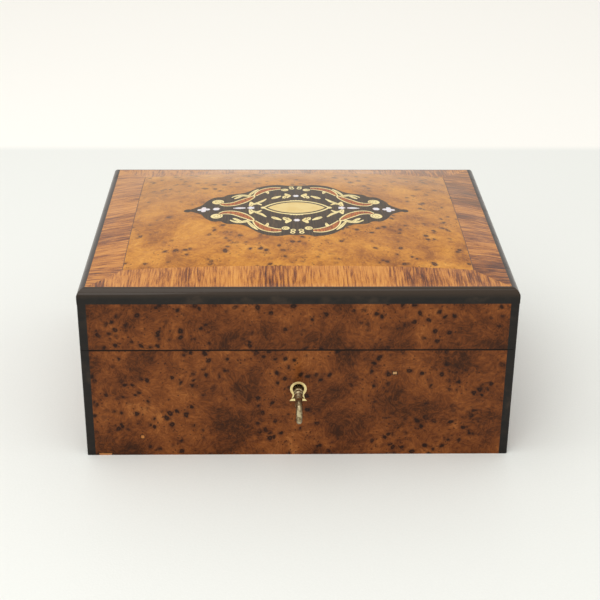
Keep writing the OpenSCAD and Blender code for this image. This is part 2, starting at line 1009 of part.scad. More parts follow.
module plaque_plan() {
  navette(plaque_l, plaque_w);
}

module cartouche_ground() {
  color([0.2, 0.16, 0.12])
    on_pillow(edge_z - veneer_t, edge_z - inlay_t)
      ground_plan();
}

// Inlaid pieces have no sliver thinner than twice the trim
module inlay() {
  trim = 0.08;
  on_pillow(edge_z - inlay_t, edge_z)
    offset(delta = trim)
      offset(delta = -2 * trim)
        offset(delta = trim, chamfer = true)
          children();
}

module cartouche_plaque() {
  color([0.88, 0.76, 0.46])
    inlay()
      plaque_plan();
}

module cartouche_brass() {
  color([0.85, 0.75, 0.45])
    inlay()
      brass_plan();
}

module cartouche_pearl() {
  color([0.85, 0.85, 0.86])
    inlay()
      pearl_plan();
}

module cartouche_redwood() {
  color([0.62, 0.28, 0.14])
    inlay()
      redwood_plan();
}

case_front_board();
case_back_board();
case_left_board();
case_right_board();
case_bottom_board();
case_front_veneer();
case_back_veneer();
case_left_veneer();
case_right_veneer();
case_corner_fillets();
case_rim_lipping();
case_lining();
case_floor_panel();
keyhole_escutcheon();
lock_plate();
lock_cap();
lock_key_post();
lock_guide_studs();
lock_spring();
lock_screws();
lock_bolt();
key_shank();
key_bow();
hinge_case_leaves();
hinge_pins();
hinge_lid_leaves();
hinge_case_screws();
hinge_lid_screws();
lid_front_rail();
lid_back_rail();
lid_left_rail();
lid_right_rail();
lid_top_board();
lid_front_veneer();
lid_back_veneer();
lid_left_veneer();
lid_right_veneer();
lid_field_veneer();
lid_crossband_front();
lid_crossband_back();
lid_crossband_left();
lid_crossband_right();
lid_moulding_front();
lid_moulding_back();
lid_moulding_left();
lid_moulding_right();
lid_corner_fillets();
lid_rim_lipping();
lid_lining();
lid_inner_panel();
link_plate();
link_plate_screws();
cartouche_ground();
cartouche_plaque();
cartouche_brass();
cartouche_pearl();
cartouche_redwood();
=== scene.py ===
import math
import bmesh
import bpy
from mathutils import Matrix, Vector
from mathutils.geometry import delaunay_2d_cdt


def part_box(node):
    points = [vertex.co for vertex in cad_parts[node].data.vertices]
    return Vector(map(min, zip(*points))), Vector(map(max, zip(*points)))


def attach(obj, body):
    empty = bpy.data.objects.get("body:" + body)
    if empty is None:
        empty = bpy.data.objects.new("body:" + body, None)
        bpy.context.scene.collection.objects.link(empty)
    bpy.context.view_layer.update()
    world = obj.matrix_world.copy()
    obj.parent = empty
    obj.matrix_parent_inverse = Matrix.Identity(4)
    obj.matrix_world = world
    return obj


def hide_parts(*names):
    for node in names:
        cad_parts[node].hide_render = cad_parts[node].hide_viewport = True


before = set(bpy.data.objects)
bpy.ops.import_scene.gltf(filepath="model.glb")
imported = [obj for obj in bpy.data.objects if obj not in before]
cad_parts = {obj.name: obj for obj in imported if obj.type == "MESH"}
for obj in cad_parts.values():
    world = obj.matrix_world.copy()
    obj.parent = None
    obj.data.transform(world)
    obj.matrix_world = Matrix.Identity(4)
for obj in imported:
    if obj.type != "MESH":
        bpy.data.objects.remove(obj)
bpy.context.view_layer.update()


# Stage: a pale floor whose far part is a warmer sheet, and soft light from above, from the front left and
# from behind. The camera stands 0.8 m from the box's front, half a metre up, and looks down at it.

MM = 0.001
camera_place = (-0.0172, -0.9193, 0.5069)
camera_yaw = 1.2783
camera_pitch = 25.6835
camera_roll = 0.4599
camera_lens = 78.859
camera_sensor = 36.0
camera_nearest = 0.01


def colour4(c):
    return (c[0], c[1], c[2], 1.0)


class Value:
    """A shader socket that takes part in Python sums."""

    def __init__(self, look, socket):
        self.look = look
        self.socket = socket

    def __add__(self, other):
        return self.look.maths("ADD", self, other)

    def __radd__(self, other):
        return self.look.maths("ADD", other, self)

    def __sub__(self, other):
        return self.look.maths("SUBTRACT", self, other)

    def __rsub__(self, other):
        return self.look.maths("SUBTRACT", other, self)

    def __mul__(self, other):
        return self.look.maths("MULTIPLY", self, other)

    def __rmul__(self, other):
        return self.look.maths("MULTIPLY", other, self)

    def __truediv__(self, other):
        return self.look.maths("DIVIDE", self, other)

    def __rtruediv__(self, other):
        return self.look.maths("DIVIDE", other, self)

    def __pow__(self, other):
        return self.look.maths("POWER", self, other)

    def __rpow__(self, other):
        return self.look.maths("POWER", other, self)

    def __abs__(self):
        return self.look.maths("ABSOLUTE", self)

    def sine(self):
        return self.look.maths("SINE", self)

    def at_most(self, limit):
        return self.look.maths("MINIMUM", self, limit)

    def or_larger(self, other):
        return self.look.maths("MAXIMUM", self, other)

    def ramp(self, low, high, start=0.0, end=1.0):
        """Goes smoothly from start to end while this value goes from low to high."""
        node = self.look.make("ShaderNodeMapRange", {"interpolation_type": "SMOOTHSTEP", "clamp": True},
                              {0: self, 1: low, 2: high, 3: start, 4: end})
        return Value(self.look, node.outputs[0])


class Look:
    """A material with one principled shader; places and sizes are in millimetres of the object."""

    def __init__(self, name, **fixed):
        self.material = bpy.data.materials.new(name)
        self.material.use_nodes = True
        self.tree = self.material.node_tree
        self.shader = self.tree.nodes["Principled BSDF"]
        for key, value in fixed.items():
            self.shader.inputs[key.replace("_", " ")].default_value = value
        coords = self.make("ShaderNodeTexCoord", {}, {})
        self.mm = self.stretch(coords.outputs["Object"], (1 / MM, 1 / MM, 1 / MM))

    def plug(self, socket, term):
        if isinstance(term, Value):
            self.tree.links.new(term.socket, socket)
        elif isinstance(term, bpy.types.NodeSocket):
            self.tree.links.new(term, socket)
        else:
            socket.default_value = term

    def make(self, kind, settings, inputs):
        """Adds a node: first its settings, or the stops of a colour ramp, then its sockets."""
        node = self.tree.nodes.new(kind)
        for key, value in settings.items():
            if key == "stops":
                self.set_stops(node.color_ramp, value)
            else:
                setattr(node, key, value)
        for key, value in inputs.items():
            self.plug(node.inputs[key], value)
        return node

    def set_stops(self, ramp, stops):
        while len(ramp.elements) < len(stops):
            ramp.elements.new(0.5)
        for element, (place, tone) in zip(ramp.elements, stops):
            element.position = place
            element.color = colour4(tone)

    def maths(self, operation, *terms):
        node = self.make("ShaderNodeMath", {"operation": operation}, dict(enumerate(terms)))
        return Value(self, node.outputs[0])

    def vector(self, operation, a, b):
        return self.make("ShaderNodeVectorMath", {"operation": operation}, {0: a, 1: b}).outputs[0]

    def stretch(self, vector, factors):
        return self.vector("MULTIPLY", vector, factors)

    def warp(self, vector, reach, size, detail=2.0):
        node = self.make("ShaderNodeTexNoise", {}, {"Vector": vector, "Scale": 1.0 / size, "Detail": detail})
        centred = self.vector("SUBTRACT", node.outputs["Color"], (0.5, 0.5, 0.5))
        return self.vector("ADD", vector, self.stretch(centred, (reach, reach, reach)))

    def parts(self):
        node = self.make("ShaderNodeSeparateXYZ", {}, {0: self.mm})
        return [Value(self, socket) for socket in node.outputs]

    def noise(self, vector, size, detail=3.0, rough=0.5, twist=0.0):
        node = self.make("ShaderNodeTexNoise", {}, {"Vector": vector, "Scale": 1.0 / size, "Detail": detail,
                                                    "Roughness": rough, "Distortion": twist})
        return Value(self, node.outputs["Fac"])

    def cells(self, vector, size):
        node = self.make("ShaderNodeTexVoronoi", {}, {"Vector": vector, "Scale": 1.0 / size})
        return Value(self, node.outputs["Distance"])

    def blend(self, amount, a, b):
        a, b = (colour4(term) if isinstance(term, tuple) else term for term in (a, b))
        return self.make("ShaderNodeMix", {"data_type": "RGBA"}, {0: amount, 6: a, 7: b}).outputs[2]

    def tones(self, amount, stops):
        return self.make("ShaderNodeValToRGB", {"stops": stops}, {0: amount}).outputs["Color"]

    def finish(self, colour, rough=None, height=None, depth=0.05):
        self.plug(self.shader.inputs["Base Color"], colour)
        if rough is not None:
            self.plug(self.shader.inputs["Roughness"], rough)
        if height is not None:
            bump = self.make("ShaderNodeBump", {}, {"Strength": 1.0, "Distance": depth * MM,
                                                    "Height": height})
            self.plug(self.shader.inputs["Normal"], bump.outputs["Normal"])
        return self.material


def aim(place, yaw, pitch, roll):
    y, p, r = (math.radians(a) for a in (yaw, pitch, roll))
    ahead = Vector((math.sin(y) * math.cos(p), math.cos(y) * math.cos(p), -math.sin(p)))
    right = Vector((math.cos(y), -math.sin(y), 0.0))
    up = right.cross(ahead)
    side = math.cos(r) * right + math.sin(r) * up
    above = -math.sin(r) * right + math.cos(r) * up
    turn = Matrix((side, above, -ahead)).transposed()
    return Matrix.Translation(place) @ turn.to_4x4()


camera = bpy.data.objects.new("camera", bpy.data.cameras.new("camera"))
camera.data.lens = camera_lens
camera.data.sensor_width = camera_sensor
camera.data.clip_start = camera_nearest
camera.matrix_world = aim(camera_place, camera_yaw, camera_pitch, camera_roll)
bpy.context.scene.collection.objects.link(camera)
bpy.context.scene.camera = camera


def new_object(name, verts, faces, look, body, replaces=(), normals=None, smooth=True):
    """Makes a mesh from places in millimetres; it rides on a body, or is part of the stage without one."""
    mesh = bpy.data.meshes.new(name)
    mesh.from_pydata([Vector(v) * MM for v in verts], [], faces)
    mesh.update()
    for face in mesh.polygons:
        face.use_smooth = smooth
    if normals:
        mesh.normals_split_custom_set_from_vertices(normals)
    piece = bpy.data.objects.new(name, mesh)
    bpy.context.scene.collection.objects.link(piece)
    mesh.materials.append(look)
    if body is None:
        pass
    else:
        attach(piece, body)
    if replaces:
        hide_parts(*replaces)


floor_half = 4500.0
floor_colour = (0.83, 0.835, 0.79)
floor_shade = tuple(0.95 * c for c in floor_colour)
far_colour = (0.94, 0.915, 0.855)
sheet_seam_y = 545.0
sheet_seam_soft = 12.0

floor = Look("floor_paper", Roughness=0.75)
_, floor_y, _ = floor.parts()
grain = floor.noise(floor.mm, size=1.6, detail=2.0)
near_part = floor.blend(grain, floor_colour, floor_shade)
past_seam = floor_y.ramp(sheet_seam_y - sheet_seam_soft, sheet_seam_y + sheet_seam_soft)
floor_look = floor.finish(floor.blend(past_seam, near_part, far_colour), height=grain, depth=0.1)
floor_corners = [(-floor_half, -floor_half, 0), (floor_half, -floor_half, 0),
                 (floor_half, floor_half, 0), (-floor_half, floor_half, 0)]
new_object("floor", floor_corners, [(0, 1, 2, 3)], floor_look, body=None)

world_colour = (1.0, 1.0, 0.99, 1.0)
world_strength = 0.84
world = bpy.data.worlds.new("studio")
world.use_nodes = True
world.node_tree.nodes["Background"].inputs["Color"].default_value = world_colour
world.node_tree.nodes["Background"].inputs["Strength"].default_value = world_strength
bpy.context.scene.world = world
bpy.context.scene.view_settings.view_transform = "Standard"


def soft_light(name, place, target, size, power):
    data = bpy.data.lights.new(name, "AREA")
    data.size = size
    data.energy = power
    light = bpy.data.objects.new(name, data)
    light.location = place
    light.rotation_euler = (Vector(target) - Vector(place)).to_track_quat("-Z", "Y").to_euler()
    bpy.context.scene.collection.objects.link(light)


soft_light("top_light", place=(-0.35, -0.3, 1.5), target=(0, 0.05, 0.05), size=1.3, power=8.0)
soft_light("back_light", place=(0.0, 1.9, 1.7), target=(0, 1.6, 0), size=1.4, power=2.5)
soft_light("front_light", place=(-0.7, -1.7, 1.1), target=(0, 0.3, 0.1), size=1.0, power=6.5)


# Burl veneer: knife-cut from root wood, glued to the boards and French polished.
# Its figure is cloudy, with short curls and clusters of small dark eyes. A near-black line along the lid's
# joint is painted shade in the gap between lid and case.

eye_size = 7.0
small_eye_size = 3.5
cluster_size = 30.0
cluster_soft = 0.06
eye_share = 0.92
halo_share = 0.55
small_eye_share = 0.7
cloud_share = 1.35
curl_share = 0.65
contour_share = 0.12
fibre_share = 0.3
tone_shift = 0.68
# The colour of the painted reflection on the polish towards the back of the lid
painted_reflection_tone = (0.58, 0.36, 0.17)
mark_rim_tone = (0.03, 0.010, 0.004)
# The near-black of the painted shade in the gap along the lid's joint
seam_shade_tone = (0.008, 0.004, 0.002)
burl_relief = 0.03
front_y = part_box("case_front_veneer")[0][1] / MM
seam_z = (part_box("case_front_veneer")[1][2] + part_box("lid_front_veneer")[0][2]) / 2 / MM


def burl_eyes(look, place, eye_limit):
    """Where the eyes are dark, and the softer halo round them; they keep to clusters."""
    spots = look.warp(look.warp(place, reach=4.5, size=7.0), reach=1.2, size=1.6)
    eye = look.cells(spots, eye_size)
    cluster = look.noise(place, size=cluster_size).ramp(eye_limit - cluster_soft, eye_limit + cluster_soft)
    rim = eye.ramp(0.02, 0.13, start=0.35, end=1.0) * eye.ramp(0.17, 0.30, start=1.0, end=0.0)
    halo = eye.ramp(0.16, 0.52, start=1.0, end=0.0) * cluster * halo_share
    small_eye = look.cells(look.warp(place, reach=3.0, size=4.0), small_eye_size)
    small = small_eye.ramp(0.12, 0.26, start=1.0, end=0.0) * cluster * small_eye_share
    return (rim * cluster + small).at_most(1.0), halo


def front_mark(look, colour, middle_x, middle_z, half_x, half_z, tone):
    """A plugged spot or a chip in the front, with a dark rim and a ragged outline."""
    x, y, z = look.parts()
    reach = (abs(x - middle_x) / half_x).or_larger(abs(z - middle_z) / half_z)
    reach = reach + (look.noise(look.mm, size=1.1, detail=2.0) - 0.5) * 0.5
    on_front = y.ramp(front_y + 0.1, front_y + 0.5, start=1.0, end=0.0)
    colour = look.blend(reach.ramp(1.25, 1.5, start=1.0, end=0.0) * on_front, colour, mark_rim_tone)
    return look.blend(reach.ramp(0.85, 1.05, start=1.0, end=0.0) * on_front, colour, tone)


def burl(name, tones, eye_tone, cloud_size, seed, polish, eye_limit, reflection_ramp=None, marks=()):
    look = Look(name, Coat_Weight=polish, Coat_Roughness=0.10, Specular_IOR_Level=0.12)
    place = look.vector("ADD", look.mm, (seed, seed * 1.7, seed * 0.6))
    drift = look.warp(place, reach=26.0, size=cloud_size, detail=3.0)
    clouds = look.noise(drift, size=cloud_size * 0.62, detail=4.0, rough=0.55)
    curls = look.noise(look.warp(drift, reach=9.0, size=11.0), size=6.5, detail=6.0, rough=0.62, twist=1.6)
    waves = look.noise(drift, size=15.0, detail=3.0, rough=0.6, twist=0.8) * 62.0
    contour = (waves.sine() * 0.5 + 0.5) ** 1.5
    fibre = look.noise(look.stretch(drift, (1.0, 2.6, 1.6)), size=0.75, detail=3.0, rough=0.7)
    figure_tone = clouds * cloud_share + curls * curl_share + contour * contour_share + fibre * fibre_share
    dark, halo = burl_eyes(look, place, eye_limit)
    colour = look.blend(halo, look.tones(figure_tone - tone_shift, tones), eye_tone)
    colour = look.blend(dark * eye_share, colour, tuple(0.4 * c for c in eye_tone))
    _, y, z = look.parts()
    # Painted reflection: pale light on the polish, painted into the colour towards the back
    if reflection_ramp:
        colour = look.blend(reflection_ramp(y), colour, painted_reflection_tone)
    for mark in marks:
        colour = front_mark(look, colour, *mark)
    # Painted shade: a near-black line painted along the gap where the lid meets the case
    seam_shade = abs(z - seam_z).ramp(0.25, 0.95, start=0.95, end=0.0)
    colour = look.blend(seam_shade, colour, seam_shade_tone)
    wear = look.noise(look.mm, size=42.0).ramp(0.35, 0.75, start=0.26, end=0.42)
    return look.finish(colour, rough=wear, height=fibre * 0.5 - dark * 0.6, depth=burl_relief)


side_tones = [(0.0, (0.014, 0.004, 0.001)), (0.28, (0.050, 0.013, 0.002)), (0.5, (0.130, 0.034, 0.006)),
              (0.72, (0.22, 0.064, 0.012)), (1.0, (0.37, 0.13, 0.030))]
side_eye_tone = (0.030, 0.008, 0.003)
side_cloud_size = 46.0
side_polish = 0.12
side_eye_limit = 0.46
edge_ease = 0.3

# Two plugged spots and two chips at the foot of the front: the middle, the half sizes and the tone of each
front_marks = [(-110.0, 15.0, 1.2, 1.2, (0.45, 0.17, 0.04)), (67.0, 66.0, 1.4, 1.0, (0.46, 0.26, 0.11)),
               (-137.0, 0.6, 4.5, 1.0, (0.42, 0.17, 0.05)), (66.0, 0.2, 2.2, 0.8, (0.16, 0.06, 0.02))]
side_burl = burl("burl_side", side_tones, side_eye_tone, side_cloud_size, seed=13.0,
                 polish=side_polish, eye_limit=side_eye_limit, marks=front_marks)
lid_side_burl = burl("burl_lid_side", side_tones, side_eye_tone, side_cloud_size, seed=71.0,
                     polish=side_polish, eye_limit=side_eye_limit)


def ease_edges(node, width):
    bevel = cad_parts[node].modifiers.new("eased_edges", "BEVEL")
    bevel.width = width * MM
    bevel.segments = 2
    bevel.limit_method = "ANGLE"
    bevel.angle_limit = math.radians(50)


def dress(node, material):
    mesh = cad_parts[node].data
    mesh.materials.clear()
    mesh.materials.append(material)


for side in ("front", "back", "left", "right"):
    dress(f"case_{side}_veneer", side_burl)
    dress(f"lid_{side}_veneer", lid_side_burl)
    ease_edges(f"case_{side}_veneer", edge_ease)
    ease_edges(f"lid_{side}_veneer", edge_ease)


# Lid top: a pillow of solid wood under marquetry that was sawn as one sheet and glued down.
# Golden burl fills the field, cross-cut bands frame it, and the cartouche is let in at the middle.

lid_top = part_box("lid_top_board")
top_a = lid_top[1][0] / MM
top_b = lid_top[1][1] / MM
veneer_t = 1.0
crown_h = 12.0
crown_fullness = 2.6
edge_z = lid_top[1][2] / MM + veneer_t - crown_h
band_w = 22.8
joint_w = 0.45
dome_step = 4.0
merge_reach = 0.002


def crown(x, y):
    u = min(1.0, abs(x) / top_a)
    v = min(1.0, abs(y) / top_b)
    return crown_h * (1 - u ** crown_fullness) * (1 - v ** crown_fullness)


def dome_normal(x, y):
    e = 0.05
    slope_x = (crown(x + e, y) - crown(x - e, y)) / (2 * e)
    slope_y = (crown(x, y + e) - crown(x, y - e)) / (2 * e)
    return Vector((-slope_x, -slope_y, 1.0)).normalized()


def smooth_curve(points, steps):
    def knot(i):
        return Vector(points[max(0, min(len(points) - 1, i))])

    curve = []
    for i in range(len(points) - 1):
        a, b, c, d = (knot(i + k) for k in (-1, 0, 1, 2))
        for k in range(steps):
            t = k / steps
            curve.append(0.5 * (2 * b + (c - a) * t + (2 * a - 5 * b + 4 * c - d) * t * t
                                + (3 * b - a - 3 * c + d) * t ** 3))
    curve.append(knot(len(points) - 1))
    return curve


def band_loop(points, grow=0.0, steps=6):
    """The outline of a band along points that each give x, y and the band's half width there."""
    thinnest = 0.02
    curve = smooth_curve(points, steps)
    left, right = [], []
    for i, p in enumerate(curve):
        ahead = (curve[min(i + 1, len(curve) - 1)] - curve[max(i - 1, 0)]).to_2d().normalized()
        across = Vector((-ahead.y, ahead.x)) * max(thinnest, p.z + grow)
        left.append(p.to_2d() + across)
        right.append(p.to_2d() - across)
    return [tuple(p) for p in left + right[::-1]]


def ring_loop(x, y, r, count=28):
    return [(x + r * math.cos(math.tau * k / count), y + r * math.sin(math.tau * k / count))
            for k in range(count)]


def navette_loop(length, width):
    """Two arcs that meet in points at the left and the right."""
    count = 44
    r = (length * length + width * width) / (4 * width)
    reach = math.asin(length / 2 / r)
    upper = [(r * math.sin(reach * (2 * k / count - 1)),
              width / 2 - r + r * math.cos(reach * (2 * k / count - 1))) for k in range(count)]
    return upper + [(-x, -y) for x, y in upper]


def volute_loop(x, y, r, start):
    """A spiral groove that winds clockwise towards the middle of a volute, and gets thinner."""
    steps, turns, half_w, wound_in, thinned = 40, 1.4, 0.22, 0.86, 0.65
    points = []
    for k in range(steps + 1):
        t = k / steps
        angle = math.radians(start) - math.tau * turns * t
        reach = r * (1 - wound_in * t)
        points.append((x + reach * math.cos(angle), y + reach * math.sin(angle), half_w * (1 - thinned * t)))
    return band_loop(points, steps=1)


once = ((1, 1),)
left_and_right = ((1, 1), (-1, 1))
front_and_back = ((1, 1), (1, -1))
four_quarters = ((1, 1), (-1, 1), (1, -1), (-1, -1))
layout = []


def lay(kind, loop, signs=once):
    """Adds an outline to the drawing, and its mirror images where the drawing repeats."""
    for sx, sy in signs:
        placed = [(x * sx, y * sy) for x, y in loop]
        turn = sum(a[0] * b[1] - b[0] * a[1] for a, b in zip(placed, placed[1:] + placed[:1]))
        layout.append((kind, placed if turn > 0 else placed[::-1]))


inner_a = top_a - band_w
inner_b = top_b - band_w
lay("field", [(-inner_a, -inner_b), (inner_a, -inner_b), (inner_a, inner_b), (-inner_a, inner_b)])
lay("crossband_front", [(-top_a, -top_b), (top_a, -top_b), (inner_a, -inner_b), (-inner_a, -inner_b)])
lay("crossband_back", [(-top_a, top_b), (top_a, top_b), (inner_a, inner_b), (-inner_a, inner_b)])
lay("crossband_left", [(-top_a, -top_b), (-inner_a, -inner_b), (-inner_a, inner_b), (-top_a, top_b)])
lay("crossband_right", [(top_a, -top_b), (inner_a, -inner_b), (inner_a, inner_b), (top_a, top_b)])
lay("joint", [(inner_a - joint_w, -inner_b), (inner_a, -inner_b), (inner_a, inner_b),
              (inner_a - joint_w, inner_b)], left_and_right)

# The cartouche in millimetres from its middle: its outline, its scrolls and leaves as x, y and half width,
# and its volutes and rings as x, y and radius. A volute's last number is where its groove starts, in degrees
line_w = 1.15
leaf_line_w = 0.25
rib_share = 0.13
half_outline = [(0, 50), (6.5, 49.6), (14.5, 51.5), (26, 47.4), (36.5, 35.2), (42, 31.5), (51.5, 29.2),
                (56, 24.8), (62, 24), (67.5, 17.5), (71, 9.5), (76, 4.6), (80, 1.6)]
outer_scroll = [(57, 10.2, 0.9), (53, 8, 2.1), (46.5, 9.2, 2.6), (39.5, 15, 2.7), (34, 21.5, 1.4),
                (32.5, 24, 0.4)]
inner_scroll = [(31.3, 25.5, 0.4), (28.4, 32, 1.9), (24, 38, 2.7), (17.5, 41.8, 2.6), (11.5, 42.3, 1.4)]
leaves = [
    [(33, 22, 1.2), (37, 25.5, 1.6), (43, 27, 1.4), (47.5, 24.5, 0.6), (49, 22.5, 0.2)],
    [(36, 26.5, 0.5), (34, 31, 1), (31.5, 36.5, 0.9), (28.6, 41, 0.2)],
    [(41, 26, 0.8), (45, 21.5, 1.1), (47, 19.5, 0.2)],
    [(21.2, 29.4, 0.2), (21.9, 33, 1.1), (23, 36.6, 0.8)],
    [(34.6, 3.4, 0.9), (33.6, 8, 1.7), (34.4, 12.4, 0.3)],
    [(33.2, 6.4, 1), (29.5, 8.4, 1.2), (26, 5.2, 0.4)],
    [(30.5, 9.4, 0.6), (26.5, 12.4, 1.2), (22.5, 18.4, 0.3)],
    [(18.5, 18.2, 0.6), (15.5, 21, 1.7), (11.4, 24.4, 0.4)],
    [(9.6, 19, 0.5), (8, 22.5, 2), (5.2, 25, 1.3), (8.2, 29.8, 0.5)],
    [(7.6, 20.4, 1.2), (6.3, 24.6, 1.6), (8, 29, 0.8)]]
volutes = [(59.2, 14.2, 4.5, 255), (8.4, 38.6, 2.9, 75)]
volute_rim = 0.9
top_rings = [(3.3, 45.6, 1.9), (2.9, 42, 2)]
cart_half_w = half_outline[0][1]
cart_tip = (81.5, 0, 3)
plaque_l = 43.0
plaque_w = 21.5
rim_l = plaque_l + 8
rim_w = plaque_w + 7
moat_l = plaque_l + 4
moat_w = plaque_w + 3.6
lobe_r = 1.0
lobe_step = 2.0
end_lobe_r = 2.0

# The outline's two mirrored halves meet along a line, and a narrow strip lies over it
outline = [tuple(p.to_2d()) for p in smooth_curve([(x, y, 0) for x, y in half_outline], steps=6)]
lay("ground", outline + [(x, -y) for x, y in outline[::-1]], left_and_right)
lay("ground", [(-1, -cart_half_w), (1, -cart_half_w), (1, cart_half_w), (-1, cart_half_w)])
lay("ground", ring_loop(*cart_tip), left_and_right)
for scroll in (outer_scroll, inner_scroll):
    lay("brass", band_loop(scroll, line_w), four_quarters)
    lay("redwood", band_loop(scroll), four_quarters)
for x, y, r, start in volutes:
    lay("brass", ring_loop(x, y, r), four_quarters)
    lay("groove", volute_loop(x, y, r - volute_rim, start), four_quarters)
lay("brass", ring_loop(32.4, 24.6, 1.5, count=16), four_quarters)
for leaf in leaves:
    lay("brass", band_loop(leaf, leaf_line_w), four_quarters)
    rib = [(x, y, w * rib_share) for x, y, w in leaf]
    lay("groove", band_loop(rib[:-1]), four_quarters)
for x, y, r in top_rings:
    lay("brass", ring_loop(x, y, r, count=20), four_quarters)
    lay("gap", ring_loop(x, y, r - 1, count=14), four_quarters)
lay("rim", navette_loop(rim_l, rim_w))
for k in range(-2, 3):
    lay("rim", ring_loop(k * lobe_step, rim_w / 2 + 0.1 - abs(k) * 0.25, lobe_r, count=14), front_and_back)
lay("rim", ring_loop(rim_l / 2 - 0.8, 0, end_lobe_r, count=18), left_and_right)
lay("moat", navette_loop(moat_l, moat_w))
lay("plaque", navette_loop(plaque_l, plaque_w))


def floret(x, y, r, petals, signs):
    middle_r, petal_r, petal_reach = 0.55 * r, 0.38 * r, 0.62 * r
    lay("pearl", ring_loop(x, y, middle_r, count=18), signs)
    for k in range(petals):
        angle = math.tau * k / petals
        petal_x, petal_y = x + petal_reach * math.cos(angle), y + petal_reach * math.sin(angle)
        lay("pearl", ring_loop(petal_x, petal_y, petal_r, count=14), signs)


floret(34, 0, 2.9, petals=5, signs=left_and_right)
lay("pearl", band_loop([(38.2, 0, 0.9), (42.5, 0, 1.6), (47.5, 0, 0.3)]), left_and_right)
lay("pearl", ring_loop(60, 0, 2.8, count=6), left_and_right)
floret(69.5, 0, 4.8, petals=4, signs=left_and_right)
floret(0, 24.5, 2.4, petals=6, signs=front_and_back)

# What lies on top of what: a triangle belongs to the last of these kinds that covers it
order = ["crossband_front", "crossband_back", "crossband_left", "crossband_right", "field", "joint",
         "ground", "brass", "redwood", "groove", "gap", "rim", "moat", "plaque", "pearl"]
shown_as = {"gap": "ground", "groove": "ground", "moat": "ground", "rim": "brass"}

points, faces = [], []
for kind, loop in layout:
    start = len(points)
    for a, b in zip(loop, loop[1:] + loop[:1]):
        pieces = max(1, int((Vector(b) - Vector(a)).length // dome_step))
        points.extend(Vector(a).lerp(Vector(b), k / pieces) for k in range(pieces))
    faces.append(list(range(start, len(points))))
columns = int(2 * top_a / dome_step)
rows = int(2 * top_b / dome_step)
for i in range(1, columns):
    for j in range(1, rows):
        points.append(Vector((top_a * (2 * i / columns - 1), top_b * (2 * j / rows - 1))))
flat, _, triangles, _, _, owners = delaunay_2d_cdt(points, [], faces, 0, merge_reach)

sheets = {}
for triangle, owner in zip(triangles, owners):
    kinds = [layout[k][0] for k in owner]
    if kinds:
        top_kind = max(kinds, key=order.index)
        sheets.setdefault(shown_as.get(top_kind, top_kind), []).append(triangle)


def sheet_piece(name, kind, look, replaces):
    used = {}
    facets = [[used.setdefault(v, len(used)) for v in t] for t in sheets[kind]]
    places = [flat[v] for v in used]
    verts = [(p.x, p.y, edge_z + crown(p.x, p.y)) for p in places]
    normals = [dome_normal(p.x, p.y) for p in places]
    new_object(name, verts, facets, look, "lid", replaces, normals)


def back_painted_reflection(y):
    """Painted reflection: the pale light that lies on the polish towards the back of the lid, painted into
    the colour.
    """
    return y.ramp(-70.0, 120.0, start=0.0, end=0.34)


field_tones = [(0.0, (0.11, 0.028, 0.003)), (0.25, (0.27, 0.085, 0.008)), (0.5, (0.45, 0.165, 0.015)),
               (0.75, (0.59, 0.245, 0.026)), (1.0, (0.73, 0.36, 0.060))]
field_look = burl("burl_field", field_tones, eye_tone=(0.12, 0.035, 0.008), cloud_size=38.0, seed=30.0,
                  polish=0.22, eye_limit=0.5, reflection_ramp=back_painted_reflection)
sheet_piece("field_burl_sheet", "field", field_look, ["lid_field_veneer"])

band_tones = [(0.12, (0.05, 0.012, 0.003)), (0.34, (0.20, 0.055, 0.010)), (0.50, (0.46, 0.165, 0.026)),
              (0.70, (0.60, 0.25, 0.045)), (0.95, (0.70, 0.33, 0.075))]
band_reflection_tone = (0.55, 0.34, 0.18)
band_reflection_share = 0.8
band_tone_shift = 0.88


def crossband_look(name, along_x, painted_shade=0.0):
    """Straight-grained wood cut across, so that its streaks run from the field to the lid's edge."""
    look = Look(name, Coat_Weight=0.3, Coat_Roughness=0.10, Specular_IOR_Level=0.15)
    drift = look.warp(look.mm, reach=2.2, size=26.0)
    across = (1.0, 0.055, 0.055) if along_x else (0.055, 1.0, 0.055)
    streak_way, hair_way = (tuple(more + f for f in across) for more in (0.03, 0.4))
    streak = look.noise(look.stretch(drift, streak_way), size=1.6, detail=5.0, rough=0.65)
    broad = look.noise(look.stretch(drift, across), size=17.0)
    hair = look.noise(look.stretch(drift, hair_way), size=0.5, detail=2.0, rough=0.6)
    # A band given painted shade is drawn darker than the same wood elsewhere
    tone = streak * 1.5 + broad * 0.9 + hair * 0.35 - (band_tone_shift + painted_shade)
    _, y, _ = look.parts()
    # Painted reflection: the band's colour is paled towards the back of the lid
    colour = look.blend(back_painted_reflection(y) * band_reflection_share, look.tones(tone, band_tones), band_reflection_tone)
    wear = look.noise(look.mm, size=30.0).ramp(0.3, 0.7, start=0.28, end=0.42)
    return look.finish(colour, rough=wear, height=streak, depth=0.03)


# The right band is a darker copy of the side band's wood: painted shade on the band that slopes away from
# the light
band_looks = {"front": crossband_look("crossband_long", along_x=True),
              "left": crossband_look("crossband_short", along_x=False),
              "right": crossband_look("crossband_shaded_copy", along_x=False, painted_shade=0.16)}
band_looks["back"] = band_looks["front"]
for side, look in band_looks.items():
    sheet_piece(f"crossband_{side}_sheet", f"crossband_{side}", look, [f"lid_crossband_{side}"])

glue = Look("glue_line", Roughness=0.4)
glue_colour = glue.blend(glue.noise(glue.mm, size=3.0), (0.03, 0.012, 0.006), (0.09, 0.035, 0.014))
glue_look = glue.finish(glue_colour, height=glue.noise(glue.mm, size=1.0))
sheet_piece("glue_lines", "joint", glue_look, [])


# Cartouche: brass, red-brown wood and mother-of-pearl let into a dark ground, all sawn together
# and levelled with the veneer. The plaque at the middle is plain and unengraved.

